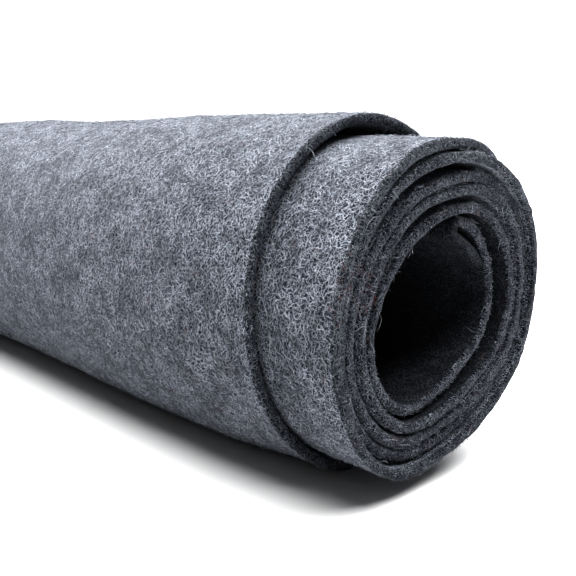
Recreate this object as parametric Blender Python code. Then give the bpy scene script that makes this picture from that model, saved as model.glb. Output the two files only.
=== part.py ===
"""A roll of thick grey felt.

One sheet of felt, about a metre and a half long and under half a metre wide, is turned over at its start and wound
six and a half times into a loose roll with an open hollow. The winding axis runs along Y, with +Z up, and the roll
rests on a small flat spot on the underside of its outer turn. The end at -Y is the neat one: the edges of the inner
turns nearly line up there, and the outer turn is wound askew, so that its edge stands back from them. At +Y that
same turn reaches out past the others, because the sheet is equally wide all along.

Angles are read as on a clock face seen from the -Y end: 0 degrees is twelve o'clock, and they grow clockwise.
"""
import math

import bpy
import numpy as np

MM = 0.001

# The sheet
FELT = 3.0 * MM
SHEET_WIDTH = 450.0 * MM
TAIL_CLOCK = 2300.0

# Height of the winding axis over the surface that the roll rests on, which flattens the outermost turn there
AXIS_HEIGHT = 49.7 * MM

# Radius, in mm, of the face of the felt that looks to the hollow, for each turn at each hour of the clock face
HOURS = ("twelve", "one", "two", "three", "four", "five", "six", "seven", "eight", "nine", "ten", "eleven")
TURN_RADII = (
    (20.8, 22.2, 22.2, 22.6, 21.8, 20.8, 23.6, 29.6, 30.2, 27.3, 23.4, 21.8),
    (23.3, 27.0, 28.9, 29.4, 28.8, 27.1, 28.9, 33.8, 34.2, 32.1, 29.3, 28.3),
    (28.5, 32.6, 34.5, 33.3, 32.8, 31.2, 32.6, 38.1, 38.5, 36.3, 33.0, 31.9),
    (32.2, 36.3, 38.0, 36.9, 36.5, 35.0, 36.4, 41.7, 42.0, 40.4, 38.7, 38.2),
    (38.1, 40.3, 41.9, 40.5, 40.1, 38.6, 40.0, 46.1, 45.5, 44.4, 43.4, 43.0),
    (41.8, 44.0, 45.6, 44.2, 44.2, 44.4, 48.6, 50.3, 49.5, 48.8, 48.0, 47.6),
    (48.0, 47.8, 49.3, 48.3, 48.4, 49.8),
)

# How far, in mm, the edge of each turn stands back from the -Y end, at each quarter of the clock face
QUARTERS = ("twelve", "three", "six", "nine")
TURN_SETBACKS = (
    (4.0, 4.0, 4.0, 3.4),
    (3.0, 1.3, 2.0, 2.4),
    (2.3, 0.5, 1.6, 2.9),
    (1.8, 2.5, 2.3, 2.3),
    (0.5, 0.0, 0.0, 0.0),
    (1.5, 14.5, 20.8, 26.0),
    (30.3, 31.8, 33.0),
)

# The start of the sheet is turned over inside the first turn: clock angle and mid radius, from its cut end to the fold
TURNED_START = (
    {"clock": 66.0, "radius": 20.3},
    {"clock": 54.0, "radius": 19.4},
    {"clock": 42.0, "radius": 18.7},
    {"clock": 30.0, "radius": 18.6},
    {"clock": 19.0, "radius": 18.8},
)
FOLD_STEPS = 6

# How much, in mm, the outermost turn swells at two clock angles along the roll; the inner turns swell less
SWELL_CLOCKS = {"top": 358.0, "low_side": 213.0}
SWELL_RADIUS = 50.0 * MM
SWELL_FADE = 4
SWELLS = (
    {"along": 0.0, "top": 0.0, "low_side": 0.0},
    {"along": 30.0, "top": 0.4, "low_side": 0.2},
    {"along": 60.0, "top": 0.8, "low_side": 2.1},
    {"along": 100.0, "top": 0.9, "low_side": 2.7},
    {"along": 180.0, "top": -0.6, "low_side": 1.8},
    {"along": 235.0, "top": 0.5, "low_side": 1.9},
    {"along": 300.0, "top": -0.2, "low_side": 1.9},
    {"along": 480.0, "top": 0.3, "low_side": 0.8},
)

# Fineness of the mesh: the angle of one step round the roll, and the places of the rows across the sheet
STEP_CLOCK = 9.0
FIRST_CLOCK = 27.0
ROWS_ACROSS = np.append(np.array((0.0, 25.0, 60.0, 105.0, 180.0, 240.0, 330.0)) * MM, SHEET_WIDTH)

FELT_COLOUR = (0.105, 0.115, 0.135, 1.0)
FELT_ROUGHNESS = 0.95


def clear_scene():
    """Removes every object, so that the script gives the same result wherever it is run."""
    for old in list(bpy.data.objects):
        bpy.data.objects.remove(old, do_unlink=True)


def smooth_read(values, places):
    """Reads an evenly spaced list at fractional places, along the smooth curve that passes through its values."""
    values = np.asarray(values, float)
    places = np.clip(np.asarray(places, float), 0.0, len(values) - 1.0)
    cell = np.minimum(places.astype(int), len(values) - 2)
    part = places - cell
    padded = np.concatenate(((2 * values[0] - values[1],), values, (2 * values[-1] - values[-2],)))
    before, here, there, after = (padded[cell + shift] for shift in range(4))
    slope_here = (there - before) / 2
    slope_there = (after - here) / 2
    return (here * (1 + 2 * part) * (1 - part) ** 2 + slope_here * part * (1 - part) ** 2
            + there * part ** 2 * (3 - 2 * part) + slope_there * part ** 2 * (part - 1))


def radius_at(clock):
    """Mid radius of the wound felt at a clock angle that counts on from turn to turn."""
    radii = [value for turn in TURN_RADII for value in turn]
    return smooth_read(radii, clock / 360.0 * len(HOURS)) * MM + FELT / 2


def setback_at(clock):
    """How far the sheet's edge stands back from the -Y end at a clock angle that counts on from turn to turn."""
    setbacks = [value for turn in TURN_SETBACKS for value in turn]
    return smooth_read(setbacks, clock / 360.0 * len(QUARTERS)) * MM


def swell_at(clock, along):
    """Growth of the outermost turn's radius at a clock angle and a distance from the -Y end."""
    places = [row["along"] * MM for row in SWELLS]
    total = 0.0
    for side, centre in SWELL_CLOCKS.items():
        size = np.interp(along, places, [row[side] * MM for row in SWELLS])
        nearness = np.maximum(np.cos(np.radians(clock - centre)), 0.0) ** 2
        total = total + size * nearness
    return total


def winding():
    """Clock angle, mid radius and edge set-back at each station, from the sheet's cut start to its tail."""
    clocks = [row["clock"] for row in TURNED_START]
    radii = [row["radius"] * MM for row in TURNED_START]
    fold_clock = math.radians(clocks[-1])
    low, high = radii[-1], float(radius_at(clocks[-1]))
    centre, reach = (low + high) / 2, (high - low) / 2
    for step in range(1, FOLD_STEPS + 1):
        turn = math.pi * step / FOLD_STEPS
        outward = centre - reach * math.cos(turn)
        sideways = -reach * math.sin(turn)
        clocks.append(math.degrees(fold_clock + math.atan2(sideways, outward)))
        radii.append(math.hypot(sideways, outward))
    wound = np.append(np.arange(FIRST_CLOCK, TAIL_CLOCK, STEP_CLOCK), TAIL_CLOCK)
    clocks = np.concatenate((clocks, wound))
    radii = np.concatenate((radii, radius_at(wound)))
    return clocks, radii, setback_at(np.maximum(clocks, 0.0))


def mitred_normals(across, up):
    """Unit-thickness offsets of a line of stations, lengthened at each corner so that the felt keeps its thickness."""
    run_x, run_z = np.diff(across, axis=1), np.diff(up, axis=1)
    length = np.hypot(run_x, run_z)
    side_x, side_z = -run_z / length, run_x / length
    first = np.concatenate((side_x[:, :1], side_x), axis=1), np.concatenate((side_z[:, :1], side_z), axis=1)
    last = np.concatenate((side_x, side_x[:, -1:]), axis=1), np.concatenate((side_z, side_z[:, -1:]), axis=1)
    sum_x, sum_z = first[0] + last[0], first[1] + last[1]
    scale = 2.0 / (sum_x ** 2 + sum_z ** 2)
    return sum_x * scale, sum_z * scale


def sheet_faces_of(rows, stations):
    """Quads that close two grids of points, hollow side first and outer side second, into one body."""
    count = rows * stations
    def point(side, row, station):
        return side * count + row * stations + station
    faces = []
    for row in range(rows - 1):
        for station in range(stations - 1):
            corners = (row, station), (row, station + 1), (row + 1, station + 1), (row + 1, station)
            faces.append([point(0, *corner) for corner in reversed(corners)])
            faces.append([point(1, *corner) for corner in corners])
    for station in range(stations - 1):
        for row, (a, b) in ((0, (station, station + 1)), (rows - 1, (station + 1, station))):
            faces.append([point(0, row, a), point(0, row, b), point(1, row, b), point(1, row, a)])
    for row in range(rows - 1):
        for station, (a, b) in ((0, (row + 1, row)), (stations - 1, (row, row + 1))):
            faces.append([point(0, a, station), point(0, b, station), point(1, b, station), point(1, a, station)])
    return faces


def felt_material():
    """Dull charcoal felt."""
    material = bpy.data.materials.new("felt")
    material.use_nodes = True
    shader = material.node_tree.nodes["Principled BSDF"]
    shader.inputs["Base Color"].default_value = FELT_COLOUR
    shader.inputs["Roughness"].default_value = FELT_ROUGHNESS
    shader.inputs["Metallic"].default_value = 0.0
    return material


def felt_roll():
    """The wound sheet, as one closed body with its origin under its middle."""
    clocks, radii, setbacks = winding()
    along = setbacks[None, :] + ROWS_ACROSS[:, None]
    radius = radii + swell_at(clocks, along) * (radii / SWELL_RADIUS) ** SWELL_FADE
    angle = np.radians(clocks)
    across = radius * np.sin(angle)
    up = np.maximum(radius * np.cos(angle), FELT / 2 - AXIS_HEIGHT)
    side_x, side_z = mitred_normals(across, up)
    sides = []
    for offset in (-FELT / 2, FELT / 2):
        height = np.maximum(up + offset * side_z + AXIS_HEIGHT, 0.0)
        sides.append(np.stack((across + offset * side_x, along, height), axis=-1))
    points = np.concatenate([side.reshape(-1, 3) for side in sides])
    middle = (points.min(axis=0) + points.max(axis=0)) / 2
    points -= (middle[0], middle[1], 0.0)

    mesh = bpy.data.meshes.new("felt_roll")
    mesh.from_pydata(points.tolist(), [], sheet_faces_of(*radius.shape))
    mesh.materials.append(felt_material())
    mesh.shade_smooth()
    mesh.set_sharp_from_angle(angle=math.radians(40.0))
    roll = bpy.data.objects.new("felt_roll", mesh)
    bpy.context.collection.objects.link(roll)

    steps = np.hypot(np.diff(across[0]), np.diff(up[0]))
    print(f"sheet {steps.sum():.3f} m long and {SHEET_WIDTH:.3f} m wide, axis at {-middle[0]:.4f}, {-middle[1]:.4f}")
    return roll


clear_scene()
felt_roll()
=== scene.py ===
# %% [markdown]
# # A roll of thick felt
# A sheet of grey felt, turned over at its start and wound into a loose roll. Everything that shows is one
# sheet of cloth, so the lesson is about two things: carrying a flat cross-section along a spiral, and making
# a fibrous surface out of noise and a great many small hairs.
#
# The measured frame comes first. It gives the box that the roll has to stay in, and the name of the plain
# solid that the fine sheet stands for.

import math

import bpy
import numpy as np
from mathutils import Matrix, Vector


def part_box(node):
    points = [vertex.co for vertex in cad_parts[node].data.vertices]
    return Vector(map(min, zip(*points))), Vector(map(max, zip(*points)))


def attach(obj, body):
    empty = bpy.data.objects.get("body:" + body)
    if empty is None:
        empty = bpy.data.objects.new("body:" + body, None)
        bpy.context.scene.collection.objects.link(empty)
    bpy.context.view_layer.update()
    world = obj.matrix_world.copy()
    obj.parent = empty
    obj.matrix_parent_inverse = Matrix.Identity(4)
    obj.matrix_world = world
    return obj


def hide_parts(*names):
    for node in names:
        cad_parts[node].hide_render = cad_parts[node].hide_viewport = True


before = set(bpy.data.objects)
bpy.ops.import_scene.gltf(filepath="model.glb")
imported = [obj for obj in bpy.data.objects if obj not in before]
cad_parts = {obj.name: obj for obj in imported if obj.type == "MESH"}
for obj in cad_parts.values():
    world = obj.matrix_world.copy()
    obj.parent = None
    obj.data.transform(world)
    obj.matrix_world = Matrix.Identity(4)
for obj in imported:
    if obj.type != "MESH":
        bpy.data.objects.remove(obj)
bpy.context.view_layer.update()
box_low, box_high = (np.array(corner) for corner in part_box("felt_roll"))
MM = 0.001
print("solid roll, in mm:", np.round((box_high - box_low) / MM, 1))

# %% [markdown]
# ## How the roll is wound
# On the real roll each turn leans on the one inside it, so no turn is a true circle. One could draw the
# spiral by hand as a curve, but a table is easier to correct: one row for each turn, one column for each hour
# of a clock face seen from the neat end. Each number is the distance in millimetres from the winding axis to
# the felt's inner face.

# %% The winding in numbers
FELT = 3.0
SHEET_WIDTH = 450.0
TAIL_CLOCK = 2300.0
AXIS_HEIGHT = 49.7
HOURS = 12
TURN_RADII = (
    (20.8, 22.2, 22.2, 22.6, 21.8, 20.8, 23.6, 29.6, 30.2, 27.3, 23.4, 21.8),
    (23.3, 27.0, 28.9, 29.4, 28.8, 27.1, 28.9, 33.8, 34.2, 32.1, 29.3, 28.3),
    (28.5, 32.6, 34.5, 33.3, 32.8, 31.2, 32.6, 38.1, 38.5, 36.3, 33.0, 31.9),
    (32.2, 36.3, 38.0, 36.9, 36.5, 35.0, 36.4, 41.7, 42.0, 40.4, 38.7, 38.2),
    (38.1, 40.3, 41.9, 40.5, 40.1, 38.6, 40.0, 46.1, 45.5, 44.4, 43.4, 43.0),
    (41.8, 44.0, 45.6, 44.2, 44.2, 44.4, 48.6, 50.3, 49.5, 48.8, 48.0, 47.6),
    (48.0, 47.8, 49.3, 48.3, 48.4, 49.8),
)
print("turns wound:", round(TAIL_CLOCK / 360.0, 2))

# %% [markdown]
# ## Edges that stand back, and a swelling turn
# Nobody winds cloth quite straight. A second table tells how far the cut edge of each turn stands back from
# the neat end, at each quarter of the clock face. A third one lets the outer turn swell a little along the
# roll, at its top and low on one side. The start of the sheet is turned over, and a short list of clock
# angles and radii gives its path.

# %% Set-backs, turned start and swelling in numbers
QUARTERS = 4
TURN_SETBACKS = (
    (4.0, 4.0, 4.0, 3.4),
    (3.0, 1.3, 2.0, 2.4),
    (2.3, 0.5, 1.6, 2.9),
    (1.8, 2.5, 2.3, 2.3),
    (0.5, 0.0, 0.0, 0.0),
    (1.5, 14.5, 20.8, 26.0),
    (30.3, 31.8, 33.0),
)
TURNED_START = ((66.0, 20.3), (54.0, 19.4), (42.0, 18.7), (30.0, 18.6), (19.0, 18.8))
SWELL_PLACES = (0.0, 30.0, 60.0, 100.0, 180.0, 235.0, 300.0, 480.0)
SWELL_TOP = (0.0, 0.4, 0.8, 0.9, -0.6, 0.5, -0.2, 0.3)
SWELL_LOW_SIDE = (0.0, 0.2, 2.1, 2.7, 1.8, 1.9, 1.9, 0.8)
SWELL_SIDES = ((358.0, SWELL_TOP), (213.0, SWELL_LOW_SIDE))
SWELL_RADIUS = 50.0
SWELL_FADE = 4
print("the outer turn stands back by up to", max(max(turn) for turn in TURN_SETBACKS), "mm")

# %% [markdown]
# ## Reading the tables smoothly
# Between two numbers of a table the felt bends evenly. A straight line between them would give a corner at
# each hour, so the tables are read along a cubic curve that passes through every number.

# %% A smooth line through the numbers of a list
def smooth_read(values, places):
    """Reads a list at fractional places: a cubic between each two neighbours, whose slope at each of them is
    half the step from the one before to the one after."""
    values = np.asarray(values, float)
    places = np.clip(np.asarray(places, float), 0.0, len(values) - 1.0)
    cell = np.minimum(places.astype(int), len(values) - 2)
    part = places - cell
    padded = np.concatenate(((2 * values[0] - values[1],), values, (2 * values[-1] - values[-2],)))
    before, here, there, after = (padded[cell + shift] for shift in range(4))
    slope_here, slope_there = (there - before) / 2, (after - here) / 2
    return (here * (1 + 2 * part) * (1 - part) ** 2 + slope_here * part * (1 - part) ** 2
            + there * part ** 2 * (3 - 2 * part) + slope_there * part ** 2 * (part - 1))


def radius_at(clock):
    """Middle of the felt: the table read smoothly at the clock angle, plus half the felt."""
    return smooth_read([r for turn in TURN_RADII for r in turn], clock / 360.0 * HOURS) + FELT / 2


def setback_at(clock):
    """The edge's set-back: its table read smoothly at the clock angle."""
    return smooth_read([s for turn in TURN_SETBACKS for s in turn], clock / 360.0 * QUARTERS)


print("radius at the tail, in mm:", round(float(radius_at(TAIL_CLOCK)), 1))

# %% How much the outer turn swells
def smooth_between(along, sizes):
    """Reads a swell table along the roll, easing in and out of each row with three squares less two cubes."""
    rows = np.asarray(SWELL_PLACES)
    cell = np.clip(np.searchsorted(rows, along, side="right") - 1, 0, len(rows) - 2)
    part = np.clip((along - rows[cell]) / (rows[cell + 1] - rows[cell]), 0.0, 1.0)
    sizes = np.asarray(sizes)
    return sizes[cell] + (sizes[cell + 1] - sizes[cell]) * part ** 2 * (3 - 2 * part)


def swell_at(clock, along):
    """Growth of the outer turn: each side's table read along the roll, times the squared cosine of the angle
    between the clock angle and that side, where the cosine is positive."""
    total = 0.0
    for centre, sizes in SWELL_SIDES:
        nearness = np.maximum(np.cos(np.radians(clock - centre)), 0.0) ** 2
        total = total + smooth_between(along, sizes) * nearness
    return total


print("swelling 100 mm along, low on the side, in mm:", round(float(swell_at(213.0, np.array(100.0))), 2))

# %% [markdown]
# ## The path of the sheet
# The sheet starts inside the hollow, runs back a little way along the wall, folds over, and then winds
# outwards. The path is a list of stations, each with a clock angle and a radius. A station every three
# degrees makes the curves look round without a heavy mesh.

# %% Stations along the path
STEP_CLOCK = 3.0
START_STEPS = 17
FOLD_STEPS = 14
FOLD_END = START_STEPS + FOLD_STEPS


def winding():
    """Clock angle and middle radius of each station: the turned start read smoothly, a half circle for the
    fold, then the spiral."""
    start = np.array(TURNED_START)
    places = np.linspace(0, len(start) - 1, START_STEPS)
    clocks, radii = smooth_read(start[:, 0], places), smooth_read(start[:, 1], places)
    low, high = radii[-1], float(radius_at(clocks[-1]))
    centre, reach = (low + high) / 2, (high - low) / 2
    turn = np.pi * np.arange(1, FOLD_STEPS + 1) / FOLD_STEPS
    outward, sideways = centre - reach * np.cos(turn), -reach * np.sin(turn)
    fold_clocks = clocks[-1] + np.degrees(np.arctan2(sideways, outward))
    wound = np.append(np.arange(clocks[-1] + STEP_CLOCK, TAIL_CLOCK, STEP_CLOCK), TAIL_CLOCK)
    clocks = np.concatenate((clocks, fold_clocks, wound))
    return clocks, np.concatenate((radii, np.hypot(sideways, outward), radius_at(wound)))


clocks, radii = winding()
setbacks = setback_at(np.maximum(clocks, 0.0))
print("stations:", len(clocks))

# %% [markdown]
# ## The cross-section that is carried along
# Cut felt is a flat band with square, slightly rounded edges. The band's outline is walked once round: along
# the inner face, round the far edge, back along the outer face and round the near edge. Rows lie close
# together near the cut edges, where the light catches small shapes, and far apart in the middle.

# %% Walk round the sheet's own outline
EDGE_ROUND = 0.95
EDGE_BULGE = 0.05
CORNER_POINTS = 3
EDGE_POINTS = 2 * CORNER_POINTS + 1
FACE_ROWS = 38
OUTER_START = FACE_ROWS + EDGE_POINTS
SINE_SHARE = 0.45
CROWDING = 1.6


def face_places():
    """Distances across the sheet, crowded towards both edges: a blend of a sine and of a power curve that is
    flattest at the edges."""
    run = np.linspace(-1.0, 1.0, FACE_ROWS)
    power = np.sign(run) * (1 - (1 - np.abs(run)) ** CROWDING)
    eased = SINE_SHARE * np.sin(run * np.pi / 2) + (1 - SINE_SHARE) * power
    return EDGE_ROUND + (SHEET_WIDTH - 2 * EDGE_ROUND) * (eased + 1) / 2


def outline():
    """Pairs of distance across the sheet and height through its thickness: two straight faces joined by edges
    whose corners are quarter circles."""
    places = face_places()
    half = FELT / 2
    quarter = np.linspace(0, np.pi / 2, CORNER_POINTS + 1)[1:]
    corner_in, corner_out = EDGE_ROUND * (1 - np.sin(quarter)), EDGE_ROUND * (1 - np.cos(quarter))
    far = np.concatenate((
        np.stack((SHEET_WIDTH - corner_in, -half + corner_out), axis=1),
        ((SHEET_WIDTH + EDGE_BULGE, 0.0),),
        np.stack((SHEET_WIDTH - corner_in, half - corner_out), axis=1)[::-1],
    ))
    inner = np.stack((places, np.full_like(places, -half)), axis=1)
    near = far[::-1] * (-1, 1) + (SHEET_WIDTH, 0)
    return np.concatenate((inner, far, inner[::-1] * (1, -1), near))


section = outline()
print("points round the outline:", len(section))

# %% [markdown]
# ## Unevenness
# Felt is never quite flat. A sum of slow waves with random directions and phases gives soft lumps. The lumps
# that move the felt in and out depend on the place in the roll and not on the place in the sheet, so that
# neighbouring turns move together and never cut through each other.

# %% Soft lumps from a sum of waves
def waves(seed, first, second, longest, shortest, count=14):
    """Sum of sines of two coordinates. Each wave has a random direction, a random phase and a wavelength
    between the two given ones; the sum is scaled to stay mostly between -1 and 1."""
    random = np.random.default_rng(seed)
    total = np.zeros(np.broadcast(first, second).shape)
    for length in np.geomspace(longest, shortest, count):
        angle, phase = random.uniform(0, 2 * np.pi, 2)
        total += np.sin(2 * np.pi * (first * np.cos(angle) + second * np.sin(angle)) / length + phase)
    return total / (1.4 * math.sqrt(count))


sample = waves(3, np.linspace(0.0, SHEET_WIDTH, 50), np.zeros(50), 90, 16)
print("lowest and highest of fifty lumps:", round(sample.min(), 2), round(sample.max(), 2))

# %% [markdown]
# ## The wound surface
# Every point of the felt is found in the same way: go to the station's place on the spiral, then step through
# the thickness along the direction that stands square to the path. Where the path bends, that step is made a
# little longer, or the felt would look thin there. The surface below stops everything that would sink into
# it, and that makes the flat spot on which the roll rests.

# %% Carry the outline along the spiral
LUMP = 0.22
LUMP_REACH = 30.0


def mitred_normals(across, up):
    """Directions through the felt: at each station the mean of the two neighbouring runs' normals, lengthened
    so that the felt keeps its thickness round a bend."""
    run_x, run_z = np.diff(across, axis=1), np.diff(up, axis=1)
    length = np.hypot(run_x, run_z)
    side_x, side_z = -run_z / length, run_x / length
    sum_x = np.concatenate((side_x[:, :1], side_x), axis=1) + np.concatenate((side_x, side_x[:, -1:]), axis=1)
    sum_z = np.concatenate((side_z[:, :1], side_z), axis=1) + np.concatenate((side_z, side_z[:, -1:]), axis=1)
    scale = 2.0 / (sum_x ** 2 + sum_z ** 2)
    return sum_x * scale, sum_z * scale


def sheet_surface(distance, height):
    """Points of the wound felt for distances across the sheet and heights through it, one row of each for
    every station. The middle line is radius times sine and cosine of the clock angle, the height is added along
    the normal, and nothing reaches below the surface that the roll rests on."""
    along = setbacks[None, :] + distance
    radius = radii + swell_at(clocks, along) * (radii / SWELL_RADIUS) ** SWELL_FADE
    angle = np.radians(clocks)
    lumps = waves(3, along, LUMP_REACH * np.cos(angle), longest=90, shortest=16)
    radius = radius + LUMP * lumps * radii / SWELL_RADIUS
    across, up = radius * np.sin(angle), radius * np.cos(angle)
    up = np.maximum(up, FELT / 2 - AXIS_HEIGHT)
    side_x, side_z = mitred_normals(across, up)
    lift = np.maximum(up + height * side_z + AXIS_HEIGHT, 0.0)
    return np.stack((across + height * side_x, along, lift), axis=-1)


everywhere = np.ones(len(clocks))
smooth_grid = sheet_surface(section[:, :1] * everywhere, section[:, 1:] * everywhere)
path = (smooth_grid[0] + smooth_grid[OUTER_START + FACE_ROWS - 1]) / 2
run = np.concatenate(((0.0,), np.cumsum(np.hypot(*np.diff(path[:, [0, 2]], axis=0).T))))
print("length of the sheet, in mm:", round(float(run[-1]), 1))

# %% [markdown]
# ## Wobbling edges, and the sheet's place
# A blade never cuts felt quite straight, and the felt is thicker in some places than in others. The same
# surface is read once more with both added. The tables count from the winding axis, while the solid's own
# frame starts under the middle of the roll, so the sheet is shifted until both boxes have the same middle.

# %% Wobble the outline and place the sheet
EDGE_WOBBLE = 0.35
EDGE_FADE = 4.0
THICK_WOBBLE = 0.10


def wobbled_section():
    """Distances and heights of the outline at each station, with both cut edges moved by waves along the sheet
    and the thickness scaled by waves along and across it."""
    distance = np.repeat(section[:, :1], len(clocks), axis=1)
    height = np.repeat(section[:, 1:], len(clocks), axis=1)
    for seed, edge in ((11, 0.0), (12, SHEET_WIDTH)):
        nearness = np.exp(-np.abs(distance - edge) / EDGE_FADE)
        wobble = waves(seed, run, height * 1.5, longest=60, shortest=4, count=18)
        distance = distance + EDGE_WOBBLE * wobble * nearness
    height = height * (1.0 + THICK_WOBBLE * waves(13, distance, run, longest=40, shortest=7, count=16))
    return distance, height


box_middle = (box_low + box_high) / 2
grid_middle = (smooth_grid.reshape(-1, 3).min(axis=0) + smooth_grid.reshape(-1, 3).max(axis=0)) / 2
axis_shift = np.array((grid_middle[0] - box_middle[0] / MM, grid_middle[1] - box_middle[1] / MM, 0.0))


def placed(points):
    """Millimetres from the winding axis to metres in the solid's frame: the two boxes get the same middle."""
    return (points - axis_shift) * MM


grid = sheet_surface(*wobbled_section())
print("the winding axis is shifted, in mm:", np.round(axis_shift, 2))

# %% [markdown]
# ## Build the sheet
# The grid closes on itself round the outline, and a patch closes it at the start and at the tail. Modifiers
# could thicken a flat sheet instead, but then its cut edges would have no shape of their own. The arrays go
# into the mesh at once, which is much faster than adding one point after another.

# %% Faces of a closed grid, and a mesh from arrays
def closed_grid(points):
    """Quads of a grid whose columns are closed rings, with a fan of quads across the ring at each end."""
    ring, stations = points.shape[:2]
    index = np.arange(ring * stations).reshape(ring, stations)
    after = np.roll(index, -1, axis=0)
    quads = np.stack((index[:, :-1], after[:, :-1], after[:, 1:], index[:, 1:]), axis=-1).reshape(-1, 4)
    low = np.arange(0, ring // 2 - 1)
    high = ring - 1 - low
    start = np.stack((low, high, high - 1, low + 1), axis=-1) * stations
    tail = start[:, ::-1] + stations - 1
    return np.concatenate((quads, start, tail))


def mesh_from(name, points, faces):
    """A mesh object at the origin whose points are in metres."""
    mesh = bpy.data.meshes.new(name)
    mesh.vertices.add(len(points))
    mesh.vertices.foreach_set("co", np.asarray(points, np.float32).ravel())
    sides = faces.shape[1]
    mesh.loops.add(faces.size)
    mesh.loops.foreach_set("vertex_index", faces.astype(np.int32).ravel())
    mesh.polygons.add(len(faces))
    mesh.polygons.foreach_set("loop_start", np.arange(0, faces.size, sides, dtype=np.int32))
    mesh.polygons.foreach_set("loop_total", np.full(len(faces), sides, np.int32))
    mesh.update(calc_edges=True)
    mesh.validate()
    piece = bpy.data.objects.new(name, mesh)
    bpy.context.collection.objects.link(piece)
    return piece


faces = closed_grid(grid)
sheet = mesh_from("felt_sheet", placed(grid).reshape(-1, 3), faces)
sheet.data.shade_smooth()
print("sheet:", len(faces) * 2, "triangles")

# %% [markdown]
# ## Do the faces look outwards?
# A closed shell that is inside out looks fine until light passes it or another program reads it. Its volume
# tells: it comes out below nought where the faces look inwards.

# %% Volume of the sheet
def volume_of(points, faces):
    """Signed volume inside closed faces: a sixth of the sum of each triangle's triple product, over the fan of
    triangles of each face. It is positive where the faces look outwards."""
    first = points[faces[:, 0]]
    total = 0.0
    for corner in range(1, faces.shape[1] - 1):
        total += (np.cross(points[faces[:, corner]], points[faces[:, corner + 1]]) * first).sum()
    return float(total) / 6


print("volume of the sheet, in litres:", round(volume_of(placed(grid).reshape(-1, 3), faces) * 1000, 3))

# %% [markdown]
# ## Lay the sheet flat for its pattern
# A UV map says where each corner would lie if the sheet were spread out. Here it is in metres, the distance
# along the sheet by the distance round its outline, so that a fibre keeps its real size everywhere. One row
# of faces joins the end of the outline to its beginning. Its corners at the beginning get the whole way round
# added, or the pattern would be squeezed into that row backwards.

# %% UV map in metres
SEAM_JUMP = 0.1
round_outline = np.concatenate(((0.0,), np.cumsum(np.hypot(*np.diff(section, axis=0).T))))
corner_points = np.zeros(len(sheet.data.loops), np.int32)
sheet.data.loops.foreach_get("vertex_index", corner_points)
along_sheet = np.tile(run, len(section))[corner_points]
round_sheet = np.repeat(round_outline, len(clocks))[corner_points]
uv = (np.stack((along_sheet, round_sheet), axis=1) * MM).reshape(-1, 4, 2)
seam = np.ptp(uv[:, :, 1], axis=1) > SEAM_JUMP
uv[seam, :, 1] += np.where(uv[seam, :, 1] < SEAM_JUMP, round_outline[-1] * MM, 0.0)
sheet.data.uv_layers.new(name="felt").data.foreach_set("uv", uv.astype(np.float32).ravel())
print("way round the outline, in mm:", round(float(round_outline[-1]), 1))

# %% [markdown]
# ## Three looks of one felt
# Fibres that were cut show their ends, which look finer and a little darker than the faces. The cut edges are
# made darker still as painted shade for the gaps between the turns. The felt in the hollow is the same felt,
# but it is painted much darker as the hollow's shade. So each face of the mesh is told which of three materials
# it wears: the outside, the cut edges, or the painted shade of the hollow, with the turned start and most of
# its edge.

# %% Choose a material for each face
OUTSIDE, CUT, PAINTED_HOLLOW_SHADE = 0, 1, 2
HOLLOW_CLOCK = 590.0
FOLD_SHOWN = 4
edge_rows = np.concatenate((np.arange(FACE_ROWS - 1, OUTER_START),
                            np.arange(OUTER_START + FACE_ROWS - 1, len(section))))
hollow_end = int(np.searchsorted(clocks[FOLD_END:], HOLLOW_CLOCK)) + FOLD_END
looks = np.full((len(section), len(clocks) - 1), OUTSIDE)
# The first turns' inner faces, round the hollow, wear the felt that is painted darker as the hollow's shade.
looks[:FACE_ROWS - 1, :hollow_end] = PAINTED_HOLLOW_SHADE
looks[:, :FOLD_END] = PAINTED_HOLLOW_SHADE
looks[edge_rows] = CUT
looks[:, :FOLD_END - FOLD_SHOWN] = PAINTED_HOLLOW_SHADE
looks = np.append(looks.ravel(), np.full(len(faces) - looks.size, CUT))
sheet.data.polygons.foreach_set("material_index", looks.astype(np.int32))
print("faces outside, cut and in the hollow:", np.bincount(looks))

# %% [markdown]
# ## The felt's surface
# Needled felt is a mat of short crimped fibres that lie every way in the sheet. Painting fibres one by one
# would need a huge image, and a thin band cut out of soft noise looks like a map, not like a fibre. Here the
# sheet is parted into small cells, and each cell holds one bowed stroke with its own direction and
# brightness. Eight such layers with cells of different sizes make the tangle, and the same layers raise the
# surface a little.
#
# A material is a graph of nodes. A small helper keeps the lines below short: it adds a node, sets its inputs,
# and links those inputs that come from another node.

# %% A helper for graphs of nodes
LAYER_SHIFT = (13.7, 7.1)


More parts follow.
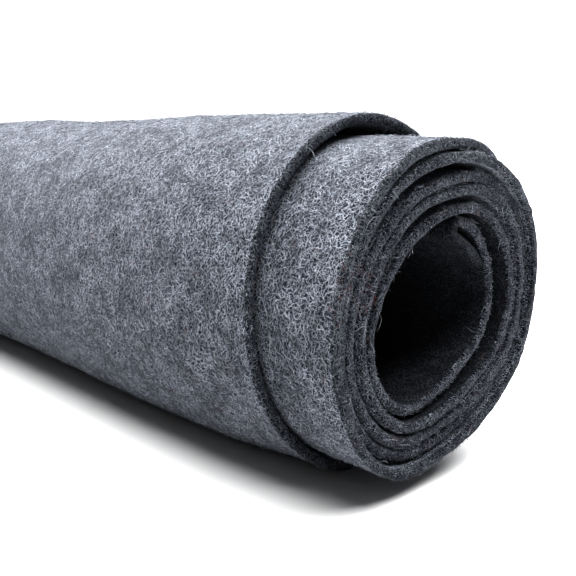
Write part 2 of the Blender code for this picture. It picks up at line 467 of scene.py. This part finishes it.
class Graph:
    """A thin wrapper that adds nodes to a material and links them by name."""

    def __init__(self, name):
        self.material = bpy.data.materials.new(name)
        self.material.use_nodes = True
        self.nodes, self.links = self.material.node_tree.nodes, self.material.node_tree.links
        self.shader = self.nodes["Principled BSDF"]

    def put(self, node, key, value):
        """Links an output of another node to an input, or sets the input to a constant."""
        if isinstance(value, bpy.types.NodeSocket):
            self.links.new(value, node.inputs[key])
        else:
            node.inputs[key].default_value = value

    def add(self, kind, values=None, settings=None):
        """A new node with its settings and inputs."""
        node = self.nodes.new(kind)
        for key, value in (settings or {}).items():
            setattr(node, key, value)
        for key, value in (values or {}).items():
            self.put(node, key, value)
        return node

    def maths(self, operation, first, second=0.0, clamp=False):
        """One sum, product or other operation on two numbers."""
        node = self.add("ShaderNodeMath", {0: first, 1: second}, {"operation": operation, "use_clamp": clamp})
        return node.outputs[0]

    def shift(self, place, lift):
        """The place moved by a number of steps, so that each layer reads another part of its pattern."""
        moved = (lift * LAYER_SHIFT[0], lift * LAYER_SHIFT[1], 0.0)
        return self.add("ShaderNodeMapping", {"Vector": place, "Location": moved}).outputs[0]

    def noise(self, place, scale, detail=0.0, roughness=0.5, lift=0.0, curl=0.0):
        """Soft noise from 0 to 1 over the flat sheet."""
        node = self.add("ShaderNodeTexNoise", {"Vector": self.shift(place, lift), "Scale": scale,
                                               "Detail": detail, "Roughness": roughness, "Distortion": curl},
                        {"noise_dimensions": "2D"})
        return node.outputs[0]

    def ramp(self, value, low, high, out_low=0.0, out_high=1.0):
        """A value between two bounds, eased to lie between two others."""
        node = self.add("ShaderNodeMapRange", {"Value": value, "From Min": low, "From Max": high,
                                               "To Min": out_low, "To Max": out_high},
                        {"interpolation_type": "SMOOTHSTEP"})
        return node.outputs[0]

    def mix(self, share, first, second):
        """The first colour where the share is 0 and the second where it is 1."""
        node = self.add("ShaderNodeMix", {"Factor": share}, {"data_type": "RGBA"})
        self.put(node, 6, first)
        self.put(node, 7, second)
        return node.outputs[2]


print("helper for graphs of nodes is ready")

# %% [markdown]
# ## One layer of fibres
# A Voronoi texture parts the sheet into cells and gives each cell a middle and a random colour. The three
# parts of that colour turn the stroke, bow it and make it brighter or duller. The stroke fades to its sides,
# so that it looks round.

# %% Strokes in random cells
BOW = 1.6
FULL_TURN = 6.28
DULLEST = 0.18


def strokes(graph, place, cell, width, lift):
    """One layer of fibres. The sheet is parted into cells, and each cell holds one stroke through its middle.
    The place is measured from that middle and turned by the cell's random angle. The stroke is where the
    distance sideways, less a random bow times the square of the distance along, is small."""
    shifted = graph.shift(place, lift)
    cells = graph.add("ShaderNodeTexVoronoi", {"Vector": shifted, "Scale": 1.0 / cell},
                      {"voronoi_dimensions": "2D"})
    random = graph.add("ShaderNodeSeparateColor", {"Color": cells.outputs["Color"]}).outputs
    offset = graph.add("ShaderNodeVectorMath", {0: shifted, 1: cells.outputs["Position"]},
                       {"operation": "SUBTRACT"}).outputs[0]
    angle = graph.maths("MULTIPLY", random[0], FULL_TURN)
    turned = graph.add("ShaderNodeVectorRotate", {"Vector": offset, "Angle": angle},
                       {"rotation_type": "Z_AXIS"}).outputs[0]
    parts = graph.add("ShaderNodeSeparateXYZ", {"Vector": turned}).outputs
    bow = graph.maths("MULTIPLY", graph.maths("SUBTRACT", random[1], 0.5), BOW / cell)
    curve = graph.maths("MULTIPLY", bow, graph.maths("MULTIPLY", parts[0], parts[0]))
    sideways = graph.maths("ABSOLUTE", graph.maths("SUBTRACT", parts[1], curve))
    line = graph.ramp(sideways, 0.0, width, 1.0, 0.0)
    return graph.maths("MULTIPLY", line, graph.ramp(random[2], 0.0, 1.0, DULLEST, 1.0))


print("a stroke in a cell of 2 mm bows by up to", 0.5 * BOW / 2.0, "mm, one millimetre from its middle")

# %% [markdown]
# ## From strokes to felt
# Seen closely, grey felt is pale fibres over dark ones, with deep pits between them. Seen from further away
# it is cloudy, because the pale fibres lie thicker in some places. The ground is mixed first, pits and dark
# strokes and a rare rusty tinge, and the pale strokes go on top, more or fewer of them as the clouds say.

# %% The colour of the felt
PALE = (0.60, 0.643, 0.715, 1.0)
MID = (0.020, 0.024, 0.034, 1.0)
DARK = (0.004, 0.005, 0.008, 1.0)
RUST = (0.085, 0.04, 0.035, 1.0)
# Cell and width in mm, and the shift, of each layer of pale fibres
FIBRES = ((1.6, 0.070, 1.0), (2.2, 0.078, 2.0), (1.3, 0.066, 3.0), (2.6, 0.085, 4.0), (1.9, 0.072, 5.0),
          (1.0, 0.065, 6.0), (2.4, 0.080, 7.0), (1.4, 0.070, 8.0))
DARK_FIBRES = (2.6, 0.22, 14.0)


def felt_layers(graph, place):
    """Pale strokes, dark strokes and pits: each from 0 to 1. The pale layers are joined by taking the brightest
    of them at each place."""
    pale = strokes(graph, place, *FIBRES[0])
    for layer in FIBRES[1:]:
        pale = graph.maths("MAXIMUM", pale, strokes(graph, place, *layer))
    dark = strokes(graph, place, *DARK_FIBRES)
    pits = graph.ramp(graph.noise(place, 0.9, detail=2.0, roughness=0.6, lift=20.0, curl=0.5), 0.38, 0.62)
    return pale, dark, pits


def felt_colour(graph, place, layers, mid, pale_share, mottle):
    """The ground, from dark pits to a mid grey, under dark strokes and a rusty tinge; then the pale strokes,
    times their share and a shade that two sizes of clouds raise and lower."""
    pale, dark, pits = layers
    slow = graph.maths("MULTIPLY", graph.noise(place, 0.07, detail=1.0, lift=31.0), 0.4)
    quick = graph.maths("MULTIPLY", graph.noise(place, 0.22, detail=3.0, roughness=0.6, lift=32.0), 0.6)
    shade = graph.ramp(graph.maths("ADD", slow, quick), 0.34, 0.66, 1.0 - 1.3 * mottle, 1.0 + mottle)
    tinge = graph.ramp(graph.noise(place, 0.16, detail=3.0, roughness=0.6, lift=40.0), 0.64, 0.76, 0.0, 0.30)
    ground = graph.mix(pits, DARK, mid)
    ground = graph.mix(graph.maths("MULTIPLY", dark, 0.7), ground, DARK)
    ground = graph.mix(tinge, ground, RUST)
    pale_part = graph.maths("MULTIPLY", graph.maths("MULTIPLY", pale, pale_share), shade, clamp=True)
    return graph.mix(pale_part, ground, PALE)


print("layers of pale fibres:", len(FIBRES))

# %% [markdown]
# ## A dull surface with a nap
# Felt doesn't shine. The roughness is high and the mirror part low, a bump lifts the pale strokes and sinks
# the pits by a fraction of a millimetre, and a little sheen stands for the fine nap that catches light along
# the outline. A larger grain makes everything finer, as where fibres are cut and seen from their ends.

# %% The three felt materials
MM_IN_METRE = 1000.0
BUMP_DEPTH = 0.00022


def felt_material(name, mid, pale_share, mottle, sheen, grain):
    """Felt: its place is the UV map in millimetres times the grain, its colour the one worked out above, and
    its bump the pale strokes plus the pits less the dark strokes."""
    graph = Graph(name)
    flat = graph.add("ShaderNodeUVMap", settings={"uv_map": "felt"}).outputs[0]
    scale = (MM_IN_METRE * grain, MM_IN_METRE * grain, MM_IN_METRE)
    place = graph.add("ShaderNodeMapping", {"Vector": flat, "Scale": scale}).outputs[0]
    pale, dark, pits = layers = felt_layers(graph, place)
    graph.put(graph.shader, "Base Color", felt_colour(graph, place, layers, mid, pale_share, mottle))

    height = graph.maths("ADD", graph.maths("MULTIPLY", pale, 0.6), graph.maths("MULTIPLY", pits, 0.55))
    height = graph.maths("SUBTRACT", height, graph.maths("MULTIPLY", dark, 0.3))
    bump = graph.add("ShaderNodeBump", {"Strength": 0.9, "Distance": BUMP_DEPTH, "Height": height})
    graph.put(graph.shader, "Normal", bump.outputs[0])
    graph.put(graph.shader, "Roughness", 0.95)
    graph.put(graph.shader, "Specular IOR Level", 0.15)
    graph.put(graph.shader, "Sheen Weight", sheen)
    graph.put(graph.shader, "Sheen Roughness", 0.35)
    graph.put(graph.shader, "Sheen Tint", (0.85, 0.88, 1.0, 1.0))
    return graph.material


for felt_look in (
    felt_material("felt face", MID, pale_share=0.95, mottle=0.36, sheen=0.22, grain=1.1),
    # The cut edge is darker than the face partly for the fibre ends that show there and partly as painted shade
    # for the gaps between the turns.
    felt_material("felt cut edge with painted shade", (0.011, 0.013, 0.019, 1.0), pale_share=0.42, mottle=0.40, sheen=0.10,
                  grain=1.3),
    # The inner face is the same felt, painted much darker as shade for the hollow, and it gets no sheen.
    felt_material("felt hollow painted shade", (0.010, 0.011, 0.015, 1.0), pale_share=0.20, mottle=0.30, sheen=0.0,
                  grain=1.2),
):
    sheet.data.materials.append(felt_look)
print("materials:", [look.name for look in sheet.data.materials])

# %% [markdown]
# ## Loose fibres
# The picture of a fibre on a flat surface never breaks the outline, and felt is known by its fuzzy outline.
# So real fibres are added where the felt is bare. Blender's own hair would not travel to other programs, so
# each fibre is a small mesh of its own, and all of them are worked out at once as arrays.
#
# First every fibre needs a root on the felt and the directions there. A root is given by a fractional row and
# a fractional station of the sheet's grid.

# %% Places and directions on the sheet
def unit(vectors):
    """Each vector divided by its own length."""
    return vectors / np.linalg.norm(vectors, axis=-1, keepdims=True)


def spots(ring, station):
    """Point, outward direction and two directions in the surface at fractional places of the grid. The point is
    a straight blend of the four nearest grid points, and the directions come from the same four."""
    ring_low = np.floor(ring).astype(int)
    station_low = np.minimum(station.astype(int), len(clocks) - 2)
    a, b = (ring - ring_low)[:, None], (station - station_low)[:, None]
    rows = ring_low % len(section), (ring_low + 1) % len(section)
    low, high = (grid[row, station_low] for row in rows)
    low_next, high_next = (grid[row, station_low + 1] for row in rows)
    across = (high - low) * (1 - b) + (high_next - low_next) * b
    forward = (low_next - low) * (1 - a) + (high_next - high) * a
    out = unit(np.cross(across, forward))
    point = low * (1 - a) * (1 - b) + high * a * (1 - b) + low_next * (1 - a) * b + high_next * a * b
    forward = unit(forward)
    return point, out, forward, np.cross(out, forward)


print("the grid has", grid.shape[0], "rows and", grid.shape[1], "stations")

# %% [markdown]
# ## Where felt is bare
# Fibres between two turns would never be seen, and they would reach into the turn next to them. A face is
# bare only where neither the turn outside it nor the turn inside it covers it. The two set-backs tell that.

# %% Stations, rows and bare places
BARE_MARGIN = 2.0
AFTER_FOLD = 30.0


def random_stations(random, count, span=(AFTER_FOLD, TAIL_CLOCK)):
    """Stations picked evenly along the sheet's length, between two clock angles after the fold."""
    low, high = np.interp(span, clocks[FOLD_END:], run[FOLD_END:])
    return np.interp(random.uniform(low, high, count), run, np.arange(len(clocks)))


def face_ring(distance, outer):
    """Fractional row of the grid for a distance across the sheet, on the outer or the inner face."""
    row = np.interp(distance, face_places(), np.arange(FACE_ROWS))
    return OUTER_START + FACE_ROWS - 1 - row if outer else row


def is_bare(distance, station, outer):
    """True where no neighbouring turn covers the face: the turn one round further on, or one round before, lies
    between its own set-back and that plus the sheet's width."""
    clock = np.interp(station, np.arange(len(clocks)), clocks)
    along = setback_at(np.maximum(clock, 0)) + distance
    neighbour = clock + (360.0 if outer else -360.0)
    edge = setback_at(np.maximum(neighbour, 0))
    covered = (along > edge - BARE_MARGIN) & (along < edge + SHEET_WIDTH + BARE_MARGIN)
    exists = (neighbour < TAIL_CLOCK) if outer else (neighbour > TURNED_START[0][0])
    return ~(covered & exists)


print("millimetres kept clear beside a turn's edge:", BARE_MARGIN)

# %% [markdown]
# ## The shape of one fibre
# A fibre is a closed spindle with twelve faces: two pointed ends and two rings of three points between them.
# A round tube would need several times as many faces, and nobody could tell the difference at a tenth of a
# millimetre. Its root is sunk a little into the felt, so that it doesn't float.

# %% Spindles
SIDES = 3
STEPS = np.array((0.0, 0.35, 0.7, 1.0))
POINTS_EACH = 2 + 2 * SIDES
FACES_EACH = 4 * SIDES
ROOT_DEPTH = 0.12
CURVE = 4.5


def spindles(root, out, forward, sideways, length, thick, rise, random):
    """Points of one spindle for each root. The middle line runs straight along a direction, swings sideways by
    a sine and away from the felt by a share of its length; the two rings are triangles round that line."""
    count = len(root)
    phase = random.uniform(0, 2 * np.pi, (count, 1, 1))
    swing = random.uniform(0.08, 0.22, (count, 1, 1)) * length[:, None, None]
    t = STEPS[None, :, None]
    line = (root[:, None] + forward[:, None] * length[:, None, None] * t
            + sideways[:, None] * swing * (np.sin(CURVE * t + phase) - np.sin(phase))
            + out[:, None] * (rise[:, :, None] - ROOT_DEPTH))
    turn = 2 * np.pi * np.arange(SIDES) / SIDES
    ring = (sideways[:, None] * np.cos(turn)[None, :, None] + out[:, None] * np.sin(turn)[None, :, None])
    ring = ring * thick[:, None, None] / 2
    return np.concatenate((line[:, :1], line[:, 1, None] + ring, line[:, 2, None] + ring, line[:, 3:]), axis=1)


def spindle_faces(count):
    """Twelve triangles for each spindle: a fan at each end and a band of six between the rings."""
    faces = []
    for side in range(SIDES):
        after = (side + 1) % SIDES
        faces += [(0, 1 + side, 1 + after), (1 + side, 4 + after, 1 + after), (1 + side, 4 + side, 4 + after),
                  (4 + side, 7, 4 + after)]
    return (np.array(faces)[None] + POINTS_EACH * np.arange(count)[:, None, None]).reshape(-1, 3)


print("points and faces of a fibre:", POINTS_EACH, len(spindle_faces(1)))

# %% [markdown]
# ## The fibres' colour
# Grey felt is a blend of dark, grey and nearly white fibres, with a few rusty ones among them. One material
# serves all of them: each fibre keeps its own shade as the first number of its UV map.

# %% A material that reads each fibre's shade
FIBRE_DARK = (0.03, 0.033, 0.042, 1.0)
FIBRE_PALE = (0.50, 0.53, 0.60, 1.0)
FIBRE_RUSTY = (0.16, 0.05, 0.045, 1.0)


def fibre_material():
    """Loose fibre: from dark to pale as the shade goes from 0 to 1, and rusty past 1."""
    graph = Graph("loose fibre")
    flat = graph.add("ShaderNodeUVMap", settings={"uv_map": "felt"}).outputs[0]
    shade = graph.add("ShaderNodeSeparateXYZ", {"Vector": flat}).outputs[0]
    colour = graph.mix(graph.ramp(shade, 0.0, 1.0), FIBRE_DARK, FIBRE_PALE)
    colour = graph.mix(graph.ramp(shade, 1.0, 1.01), colour, FIBRE_RUSTY)
    graph.put(graph.shader, "Base Color", colour)
    graph.put(graph.shader, "Roughness", 0.7)
    graph.put(graph.shader, "Specular IOR Level", 0.2)
    return graph.material


fibre_look = fibre_material()
print("material:", fibre_look.name)

# %% [markdown]
# ## Many fibres in one piece
# Fifty thousand objects would make the scene very slow, so the fibres of one region are joined into one
# mesh. Every fibre gets its own direction, length, thickness and shade from one row of random numbers with a
# fixed seed, so the roll looks the same each time.

# %% Join groups of fibres
HAIR_THICK = (0.07, 0.12)
RISE = (0.10, 0.5)
TIP_RISE = 1.3
FLOOR_GAP = 0.05


def fuzz_group(random, ring, station, shortest, longest, stand, palest):
    """Points and shades of one group. Each fibre's direction is a random one in the surface, leant outwards by
    a random share of how much the group stands up; lying fibres rise in their middle, and half of them keep
    their tips up."""
    root, out, forward, sideways = spots(ring, station)
    count = len(root)
    angle = random.uniform(0, 2 * np.pi, (count, 1))
    lying = forward * np.cos(angle) + sideways * np.sin(angle)
    lean = stand * random.uniform(0.1, 1.0, (count, 1))
    direction = unit(lying * (1 - lean) + out * lean)
    side = unit(np.cross(direction, out + 0.01 * sideways))
    length = random.uniform(shortest, longest, count)
    height = random.uniform(*RISE, count)
    tip = np.where(random.uniform(0, 1, count) < 0.5, height * TIP_RISE, 0.0)
    rise = np.stack((np.zeros(count), height, height, tip), axis=1) * (1 - stand)
    shade = random.uniform(0.0, 1.0, count) * min(palest, 1.0) + (palest > 1.0)
    thick = random.uniform(*HAIR_THICK, count)
    return spindles(root, np.cross(side, direction), direction, side, length, thick, rise, random), shade


def fuzz(name, seed, groups):
    """A piece made of several groups of fibres. A group is rows of the grid, stations, shortest and longest
    length, how much its fibres stand up, from 0, lying, to 1, upright, and how pale they may be, past 1 for
    rusty ones. Fibres that would touch the surface below the roll are left out."""
    random = np.random.default_rng(seed)
    points, shade = (np.concatenate(part) for part in zip(*(fuzz_group(random, *group) for group in groups)))
    above = points[:, :, 2].min(axis=1) > FLOOR_GAP
    points, shade = points[above].reshape(-1, 3), shade[above]
    faces = spindle_faces(len(shade))
    piece = mesh_from(name, placed(points), faces)
    corners = 3 * FACES_EACH
    along = np.tile(np.resize((0.0, 0.5, 1.0), corners), len(shade))
    uv = np.stack((np.repeat(shade, corners), along), axis=1)
    piece.data.uv_layers.new(name="felt").data.foreach_set("uv", uv.astype(np.float32).ravel())
    piece.data.materials.append(fibre_look)
    piece.data.shade_smooth()
    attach(piece, "root")
    volume = round(volume_of(points, faces), 1)
    print(name, len(shade), "fibres,", len(faces), "triangles, volume in mm3:", volume)
    return piece


print("thickness of the fibres, in mm:", HAIR_THICK)

# %% [markdown]
# ## Scatter the fibres
# Cut edges bristle: short fibres stand out of them, and a few long ones hang loose. On the faces the fibres
# lie flat. The near end gets the most, because it is seen closely. The outer turn needs so many that it is
# parted into two pieces, which keeps each piece light enough to be saved whole.

# %% Three ways to scatter
random = np.random.default_rng(5)
FAR_EDGE = (FACE_ROWS - 1.3, OUTER_START + 0.3)
NEAR_EDGE = (OUTER_START + FACE_ROWS - 1.3, len(section) - 1.2)
OUTER_CORNER = (NEAR_EDGE[0], NEAR_EDGE[0] + 1.6)
LAST_TURNS = (TAIL_CLOCK - 760.0, TAIL_CLOCK)


def rim(count, edge, shortest, longest, stand, palest):
    """A group along one cut edge, on the edge itself and on the first bit of both faces."""
    return random.uniform(*edge, count), random_stations(random, count), shortest, longest, stand, palest


def face_group(count, low, high, outer, longest):
    """A group on the bare part of the last turns' faces, between two distances across the sheet."""
    distance = random.uniform(low, high, count)
    station = random_stations(random, count, LAST_TURNS)
    bare = is_bare(distance, station, outer)
    shortest, stand, palest = 1.2, 0.0, 1.0
    return face_ring(distance, outer)[bare], station[bare], shortest, longest, stand, palest


def rusty_group(count, clock):
    """A few rusty fibres across the edge of one turn, and some on the face beside it."""
    clocks_here = random.normal(clock, 5.0, count)
    station = np.interp(clocks_here, clocks[FOLD_END:], np.arange(FOLD_END, len(clocks)))
    shortest, longest, stand, rusty = 1.0, 2.6, 0.2, 2.0
    return random.uniform(NEAR_EDGE[0] - 1.5, NEAR_EDGE[1], count), station, shortest, longest, stand, rusty


print("rows of the near cut edge:", NEAR_EDGE)

# %% Fibres on the near end, the outer turn and the far end
RUSTY_CLOCKS = (645.0, 1005.0, 1365.0, 1725.0)
near_fuzz = fuzz("near_edge_fibres", 21, (
    # The near cut edge's short fibres stay below the palest shade, partly as painted shade between the turns.
    rim(5200, NEAR_EDGE, shortest=0.4, longest=1.0, stand=0.9, palest=0.8),
    rim(2800, OUTER_CORNER, shortest=0.6, longest=1.5, stand=0.4, palest=1.0),
    rim(120, NEAR_EDGE, shortest=2.5, longest=6.0, stand=0.4, palest=1.0),
    face_group(11600, 0.5, 55.0, outer=True, longest=2.6),
    *(rusty_group(14, clock) for clock in RUSTY_CLOCKS),
))
outer_fuzz = [fuzz(f"outer_fibres_{part}", 30 + part, (face_group(34500, low, high, outer=True, longest=3.2),))
              for part, (low, high) in enumerate(((40.0, 200.0), (200.0, 449.0)))]
far_fuzz = fuzz("far_edge_fibres", 41, (
    # The far cut edge's short fibres stay below the palest shade, partly as painted shade between the turns.
    rim(6000, FAR_EDGE, shortest=0.5, longest=1.6, stand=0.7, palest=0.75),
    face_group(6000, 405.0, 449.5, outer=False, longest=2.6),
))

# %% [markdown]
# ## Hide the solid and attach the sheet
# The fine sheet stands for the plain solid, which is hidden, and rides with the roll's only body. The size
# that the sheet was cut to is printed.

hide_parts("felt_roll")
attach(sheet, "root")
print("flat size of the sheet, in m:", SHEET_WIDTH * MM, round(float(run[-1]) * MM, 3))

# %% [markdown]
# ## Camera
# The camera stands just below the height of the roll's top and looks a little down along the roll. It is so
# close that the near end takes up more than half of the picture's height, and the far part shrinks quickly.

# %% Camera
LENS = 48.34
CAMERA_FROM_END = (-172.4, -117.8, 45.8)
LOOK_DOWN = 11.33
LOOK_ROUND = -43.2
axis_end = np.array((0.0, 0.0, AXIS_HEIGHT)) - axis_shift
camera_data = bpy.data.cameras.new("camera")
camera_data.sensor_width = 36.0
camera_data.lens = LENS
camera = bpy.data.objects.new("camera", camera_data)
camera.location = (axis_end + np.array(CAMERA_FROM_END)) * MM
camera.rotation_euler = (math.radians(90.0 - LOOK_DOWN), 0.0, math.radians(LOOK_ROUND))
bpy.context.collection.objects.link(camera)
bpy.context.scene.camera = camera
print("camera at", [round(c, 3) for c in camera.location])

# %% [markdown]
# ## Floor
# The roll lies on a plain pale floor, which turns white where nothing shades it. It is one large square, so
# wide that its rim never comes into view. Its light also falls back up on the underside of the roll, so it
# shouldn't be too dark.

# %% Floor
FLOOR_HALF = 30.0
FLOOR_COLOUR = (0.74, 0.74, 0.74, 1.0)


def floor_material():
    """A dull pale surface without any shine."""
    graph = Graph("pale floor")
    graph.put(graph.shader, "Base Color", FLOOR_COLOUR)
    graph.put(graph.shader, "Roughness", 0.9)
    graph.put(graph.shader, "Specular IOR Level", 0.0)
    return graph.material


floor_corners = np.array(((-1, -1, 0), (1, -1, 0), (1, 1, 0), (-1, 1, 0)), float) * FLOOR_HALF
floor = mesh_from("floor", floor_corners, np.array(((0, 1, 2, 3),)))
floor.data.materials.append(floor_material())
print("floor, in m:", 2 * FLOOR_HALF, "square")

# %% [markdown]
# ## Light
# The shadow is soft and lies on the camera's side, so the light is one very wide, soft sun from above and a
# little behind. A lamp with an edge would draw a hard shadow. A weak even light from the room fills the dark
# places, while the room itself looks white to the camera.

# %% Light
ROOM_LIGHT = 0.16
ROOM_SEEN = 1.1
SUN_STRENGTH = 10.9
SUN_WIDTH = 84.0
SUN_TILT = (-9.0, 16.0)

world = bpy.data.worlds.new("pale room")
world.use_nodes = True
room = world.node_tree
room_light = room.nodes["Background"]
room_light.inputs["Color"].default_value = (1.0, 1.0, 1.0, 1.0)
seen = room.nodes.new("ShaderNodeLightPath")
strength = room.nodes.new("ShaderNodeMapRange")
strength.inputs["To Min"].default_value = ROOM_LIGHT
strength.inputs["To Max"].default_value = ROOM_SEEN
room.links.new(seen.outputs["Is Camera Ray"], strength.inputs["Value"])
room.links.new(strength.outputs[0], room_light.inputs["Strength"])
bpy.context.scene.world = world

sun = bpy.data.lights.new("overhead", "SUN")
sun.energy, sun.angle = SUN_STRENGTH, math.radians(SUN_WIDTH)
sun_object = bpy.data.objects.new("overhead", sun)
sun_object.rotation_euler = (math.radians(SUN_TILT[0]), math.radians(SUN_TILT[1]), 0.0)
bpy.context.collection.objects.link(sun_object)
bpy.context.scene.view_settings.view_transform = "Standard"
bpy.context.scene.view_settings.look = "High Contrast"
print("sun", SUN_WIDTH, "degrees wide, room light", ROOM_LIGHT)
